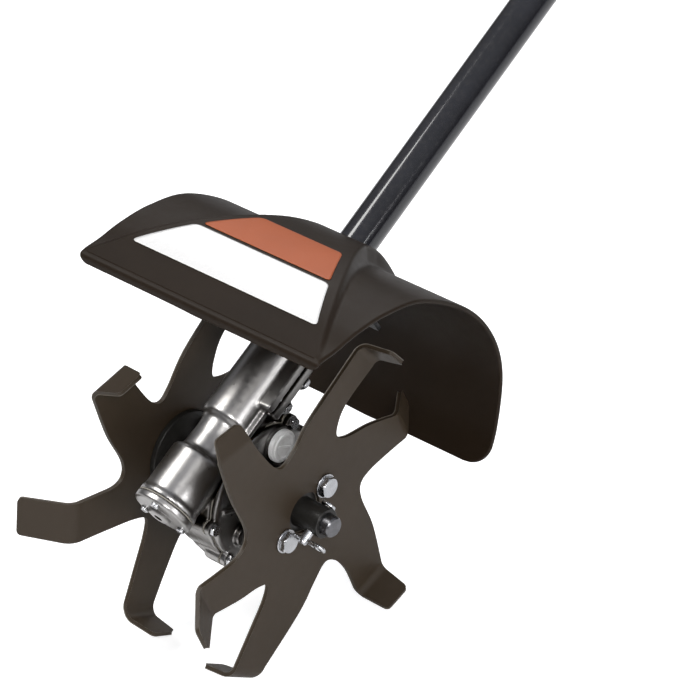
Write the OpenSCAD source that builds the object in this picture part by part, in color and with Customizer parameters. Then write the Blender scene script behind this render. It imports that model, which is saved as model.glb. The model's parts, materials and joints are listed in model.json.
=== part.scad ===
// Rotary tiller attachment for a split-shaft power head: a worm gear case on the
// end of a drive tube, one bent-blade tine disc each side, and a moulded guard.
// Drawn in the shaft frame: axle centre at the origin, X along the axle, +Z up the
// tube, -Y ahead. Then leaned back to its working attitude, so that +Z is up, and
// moved so that the middle of the tube's gripped end is the origin.

/* [Attitude] */
// Lean of the drive tube back from vertical, degrees
lean = 60; // [30:1:75]

/* [Drive tube] */
// Outside diameter of the drive tube
tube_d = 25.4; // [25.2:0.05:25.4]
// Wall thickness of the drive tube
tube_wall = 1.6; // [1.5:0.1:1.6]
// Height of the tube's free end above the axle, along the tube
tube_top = 600; // [400:10:900]
// Diameter of the locating hole near the free end
locate_d = 7; // [5:0.5:8]
// Diameter of the inner drive shaft
drive_d = 7; // [6.9:0.05:7]

/* [Gears] */
// Gear module
gear_m = 2; // [2:1:2]
// Teeth on the worm wheel
wheel_teeth = 39; // [39:1:39]
// Pitch diameter of the single-start worm
worm_d = 18; // [18:1:18]
// Width of the worm wheel
wheel_w = 14; // [10:1:14]

/* [Tines] */
// Distance from the middle of the tool to each tine plate
disc_x = 54; // [52:0.5:56]
// Thickness of a tine plate
plate_t = 3; // [2.5:0.1:3.5]
// Bend radius of a tine tip, to the middle of the plate
bend_r = 7; // [5:0.5:8]
// Diameter of the hole in the middle of a tine plate
disc_hole = 29; // [27:0.5:30]
// Radius of the two hub bolts about the axle
hub_bolt_r = 22; // [21:0.5:23]

/* [Axle] */
// Diameter of the tine axle in its bearings
axle_d = 16; // [15.9:0.05:16]
// Half length of the tine axle
axle_half = 80; // [78:1:84]

/* [Guard] */
// Width of the guard
guard_w = 200; // [180:5:220]
// Wall thickness of the guard
guard_t = 3; // [2.5:0.1:3.5]

/* [Hidden] */
$fn = 64;
wheel_pitch_r = gear_m*wheel_teeth/2;
centre_dist = wheel_pitch_r + worm_d/2;   // worm to wheel
tube_r = tube_d/2;
bore_r = tube_r - tube_wall;
drive_r = drive_d/2;
axle_r = axle_d/2;
stub_r = 7;                               // axle ends that carry the tine hubs
guard_half = guard_w/2;
grip = 60;                                // length of tube the coupler grips

// ---- Helpers ----
// shaft frame to working attitude
module tilt()
  rotate([-lean, 0, 0]) translate([0, centre_dist, -(tube_top - grip/2)]) children();
module at_tube() translate([0, -centre_dist, 0]) children();
module both_sides() for (m = [0, 1]) mirror([m, 0, 0]) children();
// place at an angle from +Y towards +Z, and a radius from the axle
module at_polar(angle, r) translate([0, r*cos(angle), r*sin(angle)]) children();
module x_cyl(r, x0, x1) translate([x0, 0, 0]) rotate([0, 90, 0]) cylinder(r = r, h = x1 - x0);
module z_cyl(r, z0, z1) translate([0, 0, z0]) cylinder(r = r, h = z1 - z0);
module x_ring(inner_r, outer_r, x0, x1) difference() {
  x_cyl(outer_r, x0, x1);
  x_cyl(inner_r, x0 - 1, x1 + 1);
}
module z_ring(inner_r, outer_r, z0, z1) difference() {
  z_cyl(outer_r, z0, z1);
  z_cyl(inner_r, z0 - 1, z1 + 1);
}
// drawing in (y, z), extruded along X from x0 to x1
module extrude_x(x0, x1)
  translate([x0, 0, 0]) rotate([90, 0, 90]) linear_extrude(height = x1 - x0) children();
module hex_prism(flats, h) cylinder(r = flats/2/cos(30), h = h, $fn = 6);
// hexagon bolt, head under z = 0, shank up
module bolt(d, length, flats, head_h) {
  translate([0, 0, -head_h]) hex_prism(flats, head_h);
  translate([0, 0, -0.01]) cylinder(r = d/2, h = length);
}
module nut(flats, h, hole_r) difference() {
  hex_prism(flats, h);
  translate([0, 0, -1]) cylinder(r = hole_r, h = h + 2.5);
}
// Catmull-Rom curve through points, n steps to each span
function curve_at(before, start, end, after, t) = 0.5*((2*start) + (end - before)*t
  + (2*before - 5*start + 4*end - after)*t*t + (3*start - before - 3*end + after)*t*t*t);
function spline(pts, n) = let(last = len(pts) - 1) concat(
  [for (i = [0:last - 1]) for (k = [0:n - 1])
    curve_at(pts[max(i - 1, 0)], pts[i], pts[i + 1], pts[min(i + 2, last)], k/n)],
  [pts[last]]);
function unit(v) = v/norm(v);
// left-hand normal of a path at point i
function normal_at(pts, i) =
  let(dir = unit(pts[min(i + 1, len(pts) - 1)] - pts[max(i - 1, 0)])) [-dir[1], dir[0]];
function inset(pts, t) = [for (i = [0:len(pts) - 1]) pts[i] - t*normal_at(pts, i)];
function reversed(pts) = [for (i = [len(pts) - 1:-1:0]) pts[i]];

// ---- Drive tube ----
bush_z = [95, 330, tube_top - 60];        // foot of each bush carrier
bush_r = 7;
square_w = 5;                             // square ends of the drive shaft
module shaft_tube() color("#15161a") tilt() at_tube() difference() {
  z_ring(bore_r, tube_r, 33, tube_top);
  translate([0, 0, tube_top - 25]) rotate([-90, 0, 0]) cylinder(r = locate_d/2, h = 30);
  z_ring(tube_r - 0.4, tube_r + 1, tube_top - grip - 2, tube_top - grip);   // depth mark
}
module square_end(z, h) translate([-square_w/2, -square_w/2, z]) cube([square_w, square_w, h]);
module drive_shaft() color("#9a9da1") tilt() at_tube() union() {
  z_cyl(drive_r, 50, tube_top - 2);
  square_end(37, 13.5);
  square_end(tube_top - 2.5, 14.5);
}
module bush_carriers() color("#303236") tilt() at_tube() for (z = bush_z) difference() {
  z_ring(bush_r + 0.02, bore_r - 0.04, z, z + 24);
  for (a = [0:120:240]) rotate(a) translate([9.3, 0, z - 1]) cylinder(r = 1.1, h = 26, $fn = 24);
}
module shaft_bushes() color("#b08d57") tilt() at_tube()
  for (z = bush_z) z_ring(drive_r + 0.05, bush_r, z + 1, z + 23);

// ---- Gear case ----
case_half = 17;                           // half width of the wheel drum
chamber_r = 43.5;                         // wheel chamber
cover_in = case_half + 0.6;               // cover faces, along X
cover_out = 22;
axle_hub_r = 17;                          // bearing hubs round the axle
lug_r = 5;
screw_ring_r = 48.5;                      // cover screws, about the axle
screw_angles = [-118, -78, -38, 2, 42, 82, 116];
cap_screw_angles = [45, 165, 285];        // worm cap screws, about the tube
cap_screw_ring_r = 16.2;
foot_z = -50;                             // lower end of the worm housing
foot_r = 20.5;
cap_in = foot_z - 0.8;                    // worm cap flange faces
cap_out = -56;
clamp_x = 20.5;
clamp_z = [46, 66];
locate_z = 56;                            // locating screw in the clamp
module at_cover_screws() for (a = screw_angles) at_polar(a, screw_ring_r) children();
module at_cap_screws(z)
  for (a = cap_screw_angles) rotate(a) translate([cap_screw_ring_r, 0, z]) children();
// +Z of the child points ahead
module at_clamp_bolts(y) for (z = clamp_z) translate([clamp_x, y, z]) rotate([90, 0, 0]) children();
module at_filler() at_polar(128, 34) children();
module at_drain() at_polar(-84, 31) children();
module gear_case() color("#c9ccd0") tilt() difference() {
  union() {
    x_cyl(chamber_r + 4.5, -case_half + 2, case_half);            // wheel drum
    x_cyl(chamber_r + 1.5, -case_half, case_half);
    at_cover_screws() x_cyl(lug_r, 6, case_half);
    x_cyl(axle_hub_r, -36, 0);                                    // left bearing hub
    for (a = [20:60:320]) rotate([a, 0, 0]) translate([-30, -1.5, 0]) cube([15, 3, 36]);
    at_tube() {
      z_cyl(foot_r, foot_z, -11);
      z_cyl(15, -20, 24);
      z_cyl(18, 14, 78);                                          // tube socket
      z_cyl(19.5, 73.5, 78);
      translate([-15, 0, -16]) cube([30, 25, 36]);                // worm block
      translate([11, -8, 34]) cube([14.5, 16, 42]);               // clamp ears
      translate([12, -2.5, 2]) cube([9, 5, 34]);                  // rib under the ears
    }
  }
  x_cyl(chamber_r, -9.5, case_half + 1);                          // wheel chamber
  at_tube() {
    z_cyl(11.5, -24, 24);                                         // worm chamber
    z_cyl(12, foot_z - 1, -23);                                   // bearing seats
    z_cyl(12, 22, 31.2);
    z_cyl(tube_r + 0.02, 31, 79);
  }
  x_cyl(11, -29.01, -9);                                          // axle bush
  x_cyl(12.5, -37, -29);                                          // axle seal
  x_cyl(axle_r + 0.5, -37, 0);
  at_tube() {
    translate([9, -1.1, 34]) cube([20, 2.2, 45]);                 // clamp slit
    at_clamp_bolts(12) cylinder(r = 3.02, h = 18);
    at_clamp_bolts(16) cylinder(r = 6.3, h = 8);                  // head seats
    translate([0, 12, locate_z]) rotate([-90, 0, 0]) cylinder(r = 2.55, h = 10.5);
    at_cap_screws(foot_z - 1) cylinder(r = 1.53, h = 14);
  }
  at_cover_screws() x_cyl(1.98, 7, case_half + 1);
}

// discs at the cover screws, in (y, z)
module screw_discs(r)
  for (a = screw_angles) translate([screw_ring_r*cos(a), screw_ring_r*sin(a)]) circle(r = r);
module cover_plan() {
  circle(r = chamber_r + 3);
  screw_discs(lug_r);
}
// axle and worm housing clearance through cover and gasket
module cover_cut() {
  x_cyl(axle_r + 0.5, 0, 40);
  at_tube() z_cyl(21.2, -60, 60);
}
// rib between cover face and bearing hub: [x, radius]
cover_rib = [[cover_out - 1, 10], [33, 10], [33, 17], [27, 26], [24, 41], [cover_out - 1, 41]];
rib_t = 3.2;
module gear_cover() color("#d2d4d8") tilt() difference() {
  union() {
    extrude_x(cover_in, cover_out) cover_plan();
    x_cyl(axle_hub_r, cover_out - 1, 36);
    for (a = [-220, -145, -100, -55, -10]) rotate([a, 0, 0])
      translate([0, rib_t/2, 0]) rotate([90, 0, 0]) linear_extrude(height = rib_t)
        polygon(cover_rib);
    at_drain() x_cyl(7, cover_out - 1, 26.5);
    at_filler() x_cyl(12.5, cover_out - 1, 23.6);
  }
  cover_cut();
  x_cyl(11, cover_in - 1, 30.01);                                 // axle bush
  x_cyl(12.5, 30, 37);                                            // axle seal
  at_cover_screws() x_cyl(2.2, cover_in - 1, cover_out + 1);
  at_drain() x_cyl(2.6, 20.4, 27);
  at_filler() x_cyl(6.05, 19.8, 24);
}
module cover_gasket() color("#6d6a5f") tilt() difference() {
  extrude_x(case_half, cover_in) difference() {
    cover_plan();
    circle(r = chamber_r);
    screw_discs(2.3);
  }
  cover_cut();
}
module cover_screws() color("#b9bcc0") tilt() at_cover_screws() difference() {
  union() {
    x_cyl(1.95, 8, cover_out);
    translate([cover_out, 0, 0]) rotate([0, 90, 0]) hex_prism(7, 2.8);
  }
  x_cyl(1.6, cover_out + 1.4, cover_out + 4);
}
module filler_plug() color("#b4b6b8") tilt() at_filler() difference() {
  union() {
    x_cyl(6, 20.5, 24);
    x_cyl(11.2, 23.6, 27.4);
    x_cyl(9.6, 27.3, 28.6);
  }
  translate([27.6, -7, -0.9]) cube([2, 14, 1.8]);                 // slot
}
module drain_plug() color("#8d9094") tilt() at_drain() difference() {
  x_cyl(2.55, 20.6, 26);
  translate([24, 0, 0]) rotate([0, 90, 0]) hex_prism(2.5, 3);
}
module worm_cap() color("#c4c7cb") tilt() at_tube() difference() {
  union() {
    z_cyl(foot_r, cap_out, cap_in);
    z_cyl(11.96, -51, -30.4);                                     // spigot
    z_cyl(8, -59, -55.9);
  }
  at_cap_screws(cap_out - 1) cylinder(r = 1.7, h = 8);
  z_cyl(8.6, -52.5, -30);
  z_cyl(3, -60, -57.5);
}
module cap_gasket() color("#6d6a5f") tilt() at_tube() difference() {
  z_cyl(20.3, cap_in, foot_z);
  z_cyl(12, -52, -49);
  at_cap_screws(-52) cylinder(r = 1.8, h = 4);
}
module cap_screws() color("#b9bcc0") tilt() at_tube() at_cap_screws(cap_out) difference() {
  union() {
    translate([0, 0, -2]) cylinder(r = 2.8, h = 2);
    cylinder(r = 1.5, h = 18);
  }
  translate([0, 0, -3]) cylinder(r = 1.3, h = 2);
}

// ---- Worm and its bearings ----
worm_lead = PI*gear_m;
worm_len = 30;
worm_tip_r = worm_d/2 + gear_m;
worm_root_r = worm_d/2 - 1.25*gear_m;
thread_tip = 0.62;                        // half widths of the thread along the worm
thread_root = 2.18;
bearing_z = [-30, 22];                    // foot of each bearing
module worm_shaft() color("#8c8f94") tilt() at_tube() difference() {
  union() {
    z_cyl(5, -30, 31);
    z_cyl(7.5, 30.6, 50);
  }
  translate([-2.6, -2.6, 36]) cube([5.2, 5.2, 15]);               // drive shaft socket
}
// radius of the worm's cross-section at an angle from the middle of the thread
function worm_r(angle) = let(along = abs(angle)/360*worm_lead,
    flank = (along - thread_tip)/(thread_root - thread_tip))
  max(worm_root_r, min(worm_tip_r, worm_tip_r - flank*(worm_tip_r - worm_root_r)));
module worm() color("#7e8186") tilt() at_tube() translate([0, 0, -worm_len/2])
  linear_extrude(height = worm_len, twist = -360*worm_len/worm_lead, slices = 70, $fn = 12)
    rotate(90 - 360*(worm_len/2)/worm_lead) difference() {
      polygon([for (i = [0:23]) let(a = -180 + 15*i) worm_r(a)*[cos(a), sin(a)]]);
      circle(r = 5.5, $fn = 12);
    }
module bearing_rings(inner_r, outer_r) tilt() at_tube()
  for (z = bearing_z) z_ring(inner_r, outer_r, z + 0.1, z + 6.9);
module worm_bearing_outers() color("#aeb2b7") bearing_rings(10.95, 11.97);
module worm_bearing_inners() color("#aeb2b7") bearing_rings(5.01, 6.06);
module worm_bearing_balls() color("#d5d7da") tilt() at_tube()
  for (z = bearing_z) for (a = [0:45:315])
    rotate(a) translate([8.5, 0, z + 3.5]) sphere(r = 2.38, $fn = 32);
module bearing_circlip() color("#55585c") tilt() at_tube() difference() {
  z_ring(9.4, 11.95, 29.4, 30.6);
  translate([-2.5, -14, 28]) cube([5, 8, 4]);
}

// ---- Worm wheel and axle ----
wheel_twist = 0.1632*wheel_w;             // helix turn across the wheel, degrees
wheel_tip_r = wheel_pitch_r + gear_m;
wheel_root_r = 36.3;
tooth_tip = 0.87;                         // half angles of a tooth
tooth_root = 3.55;
key_w = 5;
keyway_w = key_w + 0.1;
pin_x = 67;                               // clevis pins through hubs and axle
function on_circle(r, a) = r*[cos(a), sin(a)];
module worm_wheel() color("#b5893f") tilt() rotate([0, 90, 0]) rotate(-wheel_twist/2)
  linear_extrude(height = wheel_w, twist = -wheel_twist, center = true, slices = 3)
    difference() {
      polygon([for (k = [0:wheel_teeth - 1]) let(mid = -90 + (k + 0.5)*360/wheel_teeth)
        each [on_circle(wheel_root_r, mid - tooth_root), on_circle(wheel_tip_r, mid - tooth_tip),
              on_circle(wheel_tip_r, mid + tooth_tip), on_circle(wheel_root_r, mid + tooth_root)]]);
      circle(r = 20.2, $fn = 60);
    }
module wheel_hub() color("#7d8085") tilt() difference() {
  union() {
    x_cyl(19.9, -7, 7);
    x_cyl(12.5, -9.2, 16.9);
  }
  x_cyl(axle_r + 0.03, -12, 20);
  translate([-20, -keyway_w/2, 0]) cube([40, keyway_w, 10.55]);
  for (a = [30:60:330]) at_polar(a, 16) x_cyl(2, -8, 8);
}
module wheel_key() color("#6b6e72") tilt() translate([-7, -key_w/2, 5.6]) cube([14, key_w, 4.9]);
module pin_hole() translate([pin_x, 0, 0]) z_cyl(3.1, -12, 12);
module tine_axle() color("#85888d") tilt() difference() {
  union() {
    x_cyl(axle_r, -37.5, 37.5);
    x_cyl(stub_r, -axle_half, axle_half);
    x_cyl(stub_r - 1, -axle_half - 1, axle_half + 1);
  }
  translate([-7.2, -keyway_w/2, 5.5]) cube([14.4, keyway_w, 5]);
  both_sides() pin_hole();
}
module axle_bushes() color("#b08d57") tilt() {
  x_ring(axle_r + 0.05, 10.98, -28.8, -9.7);
  x_ring(axle_r + 0.05, 10.98, 17.7, 29.8);
}
module axle_seals() color("#26272a") tilt() {
  x_ring(axle_r + 0.06, 12.46, -35.6, -29.4);
  x_ring(axle_r + 0.06, 12.46, 30.2, 35.6);
}

// ---- Tine hubs and plates ----
plate_in = disc_x - plate_t/2;            // plate faces, along X
plate_out = disc_x + plate_t/2;
flange_t = 4;
module at_hub_bolts() for (s = [-1, 1]) at_polar(90*s, hub_bolt_r) children();
module tine_hub() difference() {
  union() {
    x_cyl(10, 38, 74);
    x_cyl(12.5, 38, 43);
    x_cyl(29.5, plate_in - flange_t, plate_in);
  }
  x_cyl(stub_r + 0.03, 37, 75);
  at_hub_bolts() x_cyl(4.2, 40, 60);
  pin_hole();
}
module tine_hub_right() color("#2b2a27") tilt() tine_hub();
module tine_hub_left() color("#2b2a27") tilt() mirror([1, 0, 0]) tine_hub();

// Plate outline, (y, z): each edge runs from one arm's fold line, in through the root
// between two arms, and out to the fold line of the next arm.
edges_right = [
  [[-33, 97], [-33, 68], [-28, 55], [-20, 48.5], [-10, 54], [3, 72], [20, 90]],
  [[43, 87], [37, 72], [31, 54], [31.5, 43], [42, 37], [70, 32.5], [103, 22]],
  [[98, -3], [77, 0], [60, -2], [50, -9], [53, -24], [59, -44], [63, -86]],
  [[38, -99], [29, -76], [21, -57], [13, -49], [5, -56], [-3, -70], [-16, -88]],
  [[-43, -84], [-36, -70], [-30, -56], [-31, -44], [-42, -37], [-70, -33], [-101, -25]],
  [[-90, 0], [-77, 0], [-56, 1.5], [-46.5, 7], [-47, 22], [-52, 40], [-55, 93]]];
edges_left = [
  [[-40, 95], [-38, 72], [-30, 57], [-20, 48.5], [-10, 54], [3, 72], [20, 90]],
  edges_right[1],
  [[98, -3], [77, 0], [60, -3], [51, -12], [52, -36], [61, -58], [72, -80]],
  [[50, -95], [36, -74], [23, -55], [13, -47], [2, -54], [-14, -72], [-30, -91]],
  [[-52, -74], [-42, -62], [-33, -50], [-33, -41], [-43, -35], [-70, -32], [-103, -24]],
  [[-94, 4], [-77, 3], [-57, 4], [-47, 9], [-48, 20], [-57, 45], [-62, 88]]];
// Tips: [bend, straight length, end width]. Tip i folds on the line from the end of
// edge i-1 to the start of edge i. A bend > 0 turns it outwards, < 0 towards the case.
tips_right = [[82, 17, 17], [-35, 18, 16], [76, 18, 20], [-84, 20.5, 20], [38, 26, 20],
              [-20, 12, 20]];
tips_left = [[82, 17, 17], [-35, 18, 16], [76, 18, 20], [-84, 20.5, 20], [60, 34, 25],
             [-76, 17, 20]];
// tip in section, at height h off mid-plate: along the plate, round the bend, straight
function tip_path(bend, length, h) = [[-3, h], for (k = [0:8]) let(t = bend*k/8)
    [bend_r*sin(t) - h*sin(t), bend_r*(1 - cos(t)) + h*cos(t)],
  [bend_r*sin(bend) - h*sin(bend) + length*cos(bend),
   bend_r*(1 - cos(bend)) + h*cos(bend) + length*sin(bend)]];
module tip(from, to, shape) {
  mid = (from + to)/2;
  along = to - from;
  half = (norm(along) - 1.2)/2;
  bend = abs(shape[0]);
  length = shape[1];
  translate([disc_x, 0, 0]) rotate([90, 0, 90]) translate([mid[0], mid[1], 0])
    rotate(atan2(along[1], along[0])) translate([0, 0.5, 0])
    mirror([0, 0, shape[0] < 0 ? 1 : 0]) difference() {
      translate([-half, 0, 0]) rotate([90, 0, 90]) linear_extrude(height = 2*half)
        polygon(concat(tip_path(bend, length, -plate_t/2),
                       reversed(tip_path(bend, length, plate_t/2))));
      // taper both sides of the straight part to the end width
      translate([0, bend_r*sin(bend), bend_r*(1 - cos(bend))]) rotate([bend, 0, 0])
        translate([0, 0, -6]) linear_extrude(height = 12) for (s = [-1, 1])
          polygon([[s*(half + 0.5), 0], [s*(half + 4), 0], [s*(half + 4), length + 2],
                   [s*shape[2]/2, length + 2]]);
    }
}
module tine_disc(edges, tips) difference() {
  union() {
    extrude_x(plate_in, plate_out) polygon([for (edge = edges) each spline(edge, 3)]);
    for (i = [0:5]) let(before = edges[(i + 5)%6])
      tip(before[len(before) - 1], edges[i][0], tips[i]);
  }
  x_cyl(disc_hole/2, disc_x - 5, disc_x + 5);
  at_hub_bolts() x_cyl(4.2, disc_x - 5, disc_x + 5);
}
module tine_disc_right() color("#54493d") tilt() tine_disc(edges_right, tips_right);
module tine_disc_left() color("#54493d") tilt() mirror([1, 0, 0]) tine_disc(edges_left, tips_left);

hub_nut_h = 6.5;
clip_z = -15.5;                           // clip hole through the clevis pin
wire_r = 1.2;
clip_bend_r = 2.3;
module hub_bolts() color("#c8cbcf") tilt() both_sides() at_hub_bolts()
  translate([plate_out, 0, 0]) rotate([0, -90, 0]) bolt(8, 17, 13, 5.3);
module hub_nuts() color("#c8cbcf") tilt() both_sides() at_hub_bolts()
  translate([plate_in - flange_t - hub_nut_h, 0, 0]) rotate([0, 90, 0]) nut(13, hub_nut_h, 4.03);
module clevis_pins() color("#b9bcc0") tilt() both_sides() translate([pin_x, 0, 0]) difference() {
  union() {
    z_cyl(3, -19, 10.2);
    z_cyl(5, 10.1, 12.4);
  }
  translate([0, 0, clip_z]) x_cyl(1.35, -10, 10);
}
// one leg through the pin, a round bend, the other leg along its side
module hairpin() {
  x_cyl(wire_r, -5.8, 13);
  translate([13, clip_bend_r, 0]) rotate(-90) rotate_extrude(angle = 180)
    translate([clip_bend_r, 0]) circle(r = wire_r);
  translate([0, 2*clip_bend_r, 0]) x_cyl(wire_r, -5, 13);
}
module retaining_clips() color("#d3d6da") tilt() both_sides()
  translate([pin_x, 0, clip_z]) hairpin();

// ---- Clamp hardware ----
module clamp_bolts() color("#b9bcc0") tilt() at_tube() at_clamp_bolts(8) bolt(6, 13.6, 10, 4.2);
module locating_screw() color("#b9bcc0") tilt() at_tube()
  translate([0, 18.2, locate_z]) rotate([90, 0, 0]) bolt(5, 5.2, 8, 3.6);

// ---- Guard ----
// outer side sections, (y, z), from the front edge up and back
arch_edge = [-139, 42];
arch_pts = [[-143.5, 48], [-137, 63], [-130, 81], [-117, 104], [-94, 129.5], [-52, 151.5],
            [-12, 158], [24, 149.5], [57, 123.5], [73, 100.5]];
hood_pts = [[-144.5, 49], [-139.5, 64], [-133, 82], [-121, 105], [-101.5, 131], [-79, 151],
            [-54, 162], [-28, 163.5], [-4, 159.5], [12, 152]];
arch_curve = concat([arch_edge], spline(arch_pts, 5));
hood_curve = spline(hood_pts, 5);
panel_angle = atan2(98, 69);              // slope of the raised panel
// frame of the raised panel: X across, Y up the slope
module on_panel() translate([0, -143, 51]) rotate([panel_angle, 0, 0]) children();
// plan of the raised panel seen square-on, shrunk at the sides by t
module hood_plan(t) polygon([
  [-97 + t, -14], [-97 + t, 2], [-27 + t*0.8, 122], [-27 + t*0.8, 190],
  [27 - t*0.8, 190], [27 - t*0.8, 122], [97 - t, 2], [97 - t, -14]]);
// solid under the arch, t inside its outer face; wider and deeper when t > 0, to cut
module arch_fill(t) {
  half = guard_half + (t > 0 ? 1 : 0);
  extrude_x(-half, half)
    polygon(concat(inset(arch_curve, t), t > 0 ? [[72, 60], [-136, 20]] : []));
}
// solid under the raised panel, t inside its outer face
module hood_fill(t) intersection() {
  extrude_x(-guard_half, guard_half)
    polygon(concat(inset(hood_curve, t), [[4, 100], [-90, 60]]));
  on_panel() translate([0, 0, -70]) linear_extrude(height = 120) hood_plan(t);
}
// moulded posts that take the guard screws
module at_posts() for (x = [-26, 26], y = [-66, -30]) translate([x, y, 0]) children();
module guard_shell() color("#2b251f") tilt() union() {
  difference() {
    union() {
      arch_fill(0);
      hood_fill(0);
    }
    union() {
      arch_fill(guard_t);
      hood_fill(guard_t);
    }
    translate([-guard_half - 2, -150, -10]) cube([guard_w + 4, 230, 52]);   // lower edge
    at_tube() z_cyl(tube_r + 0.6, 100, 200);
  }
  difference() {
    intersection() {
      at_posts() z_cyl(5, 127.2, 166);
      arch_fill(1.5);
    }
    at_posts() z_cyl(1.98, 120, 134);
  }
}

ear_y = 0.4;                              // bracket halves stand this far off tube centre
ear_t = 4;
module at_bracket_bolts(y)
  for (s = [-1, 1]) translate([s*21, y, 115]) rotate([-90, 0, 0]) children();
// half collar and ears round the tube, on its +Y side
module bracket_half(top) {
  intersection() {
    z_cyl(17, 106, top);
    translate([-20, ear_y, 100]) cube([40, 20, 30]);
  }
  translate([-25, ear_y, 108]) cube([50, ear_t, 14]);
}
module bracket_holes() {
  z_cyl(tube_r + 0.03, 100, 130);
  at_bracket_bolts(-8) cylinder(r = 2.7, h = 20);
}
module guard_bracket() color("#3a3b3e") tilt() difference() {
  union() {
    translate([-34, -76, 124]) cube([68, 56, 3]);                 // plate under the guard
    at_tube() bracket_half(124.5);
  }
  at_tube() bracket_holes();
  at_posts() z_cyl(2.3, 120, 130);
}
module bracket_cap() color("#3a3b3e") tilt() at_tube() difference() {
  mirror([0, 1, 0]) bracket_half(123.8);
  bracket_holes();
}
module bracket_bolts() color("#b9bcc0") tilt() at_tube()
  at_bracket_bolts(-ear_y - ear_t) bolt(5, 14, 8, 3.6);
module bracket_nuts() color("#b9bcc0") tilt() at_tube()
  at_bracket_bolts(ear_y + ear_t) nut(8, 4, 2.53);
module guard_screws() color("#b9bcc0") tilt() at_posts() {
  z_cyl(4, 121.6, 124);
  z_cyl(1.95, 124, 133.5);
}
// thin skin on the raised panel, from y0 to y1 up the slope, tapering in half width
module label(y0, y1, half0, half1) intersection() {
  extrude_x(-guard_half, guard_half) difference() {
    polygon(concat(inset(hood_curve, -0.5), [[4, 100], [-90, 60]]));
    polygon(concat(inset(hood_curve, -0.02), [[4, 90], [-90, 50]]));
  }
  on_panel() translate([0, 0, -5]) linear_extrude(height = 60)
    polygon([[-half0, y0], [-half1, y1], [half1, y1], [half0, y0]]);
}
module label_lower() color("#f2f2f0") tilt() label(22, 60, 78, 56);
module label_upper() color("#cf6a35") tilt() label(63, 92, 53, 34);

shaft_tube();
drive_shaft();
bush_carriers();
shaft_bushes();
gear_case();
gear_cover();
cover_gasket();
cover_screws();
filler_plug();
drain_plug();
worm_cap();
cap_gasket();
cap_screws();
worm_shaft();
worm();
worm_bearing_outers();
worm_bearing_inners();
worm_bearing_balls();
bearing_circlip();
worm_wheel();
wheel_hub();
wheel_key();
tine_axle();
axle_bushes();
axle_seals();
tine_hub_right();
tine_hub_left();
tine_disc_right();
tine_disc_left();
hub_bolts();
hub_nuts();
clevis_pins();
retaining_clips();
clamp_bolts();
locating_screw();
guard_shell();
guard_bracket();
bracket_cap();
bracket_bolts();
bracket_nuts();
guard_screws();
label_lower();
label_upper();
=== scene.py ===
import bpy
import bmesh
import json
import math
import random
import numpy as np
from mathutils import Matrix, Vector

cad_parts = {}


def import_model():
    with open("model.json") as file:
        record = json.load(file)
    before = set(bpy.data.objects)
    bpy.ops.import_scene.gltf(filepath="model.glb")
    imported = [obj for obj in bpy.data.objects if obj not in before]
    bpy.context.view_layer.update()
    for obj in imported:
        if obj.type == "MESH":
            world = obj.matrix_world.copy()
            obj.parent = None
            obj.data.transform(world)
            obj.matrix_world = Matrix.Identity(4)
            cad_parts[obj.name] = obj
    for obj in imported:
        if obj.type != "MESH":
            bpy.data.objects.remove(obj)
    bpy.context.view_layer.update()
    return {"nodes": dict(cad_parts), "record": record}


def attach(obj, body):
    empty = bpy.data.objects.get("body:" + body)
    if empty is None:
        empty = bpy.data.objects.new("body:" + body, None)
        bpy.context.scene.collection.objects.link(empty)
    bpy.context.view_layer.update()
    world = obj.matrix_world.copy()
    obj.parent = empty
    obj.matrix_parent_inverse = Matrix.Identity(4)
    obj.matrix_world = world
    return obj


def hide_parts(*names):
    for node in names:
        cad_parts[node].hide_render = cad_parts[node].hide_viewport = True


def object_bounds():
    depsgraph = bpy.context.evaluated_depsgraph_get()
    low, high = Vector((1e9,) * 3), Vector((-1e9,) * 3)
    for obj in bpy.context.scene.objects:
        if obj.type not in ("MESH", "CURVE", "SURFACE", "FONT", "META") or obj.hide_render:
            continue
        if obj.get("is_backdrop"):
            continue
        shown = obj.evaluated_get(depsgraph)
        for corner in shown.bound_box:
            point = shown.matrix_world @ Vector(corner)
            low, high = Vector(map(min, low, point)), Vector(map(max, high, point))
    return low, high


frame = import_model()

random.seed(7)
rng = np.random.default_rng(7)
LEAN = math.radians(60)
TILT = Matrix.Rotation(-LEAN, 4, "X")
MM = 0.001
CD = 48.0          # axle to tube line
PL = 54.0          # middle of a tine plate
UP0 = 570.0        # from the axle up to the middle of the gripped tube end


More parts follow.
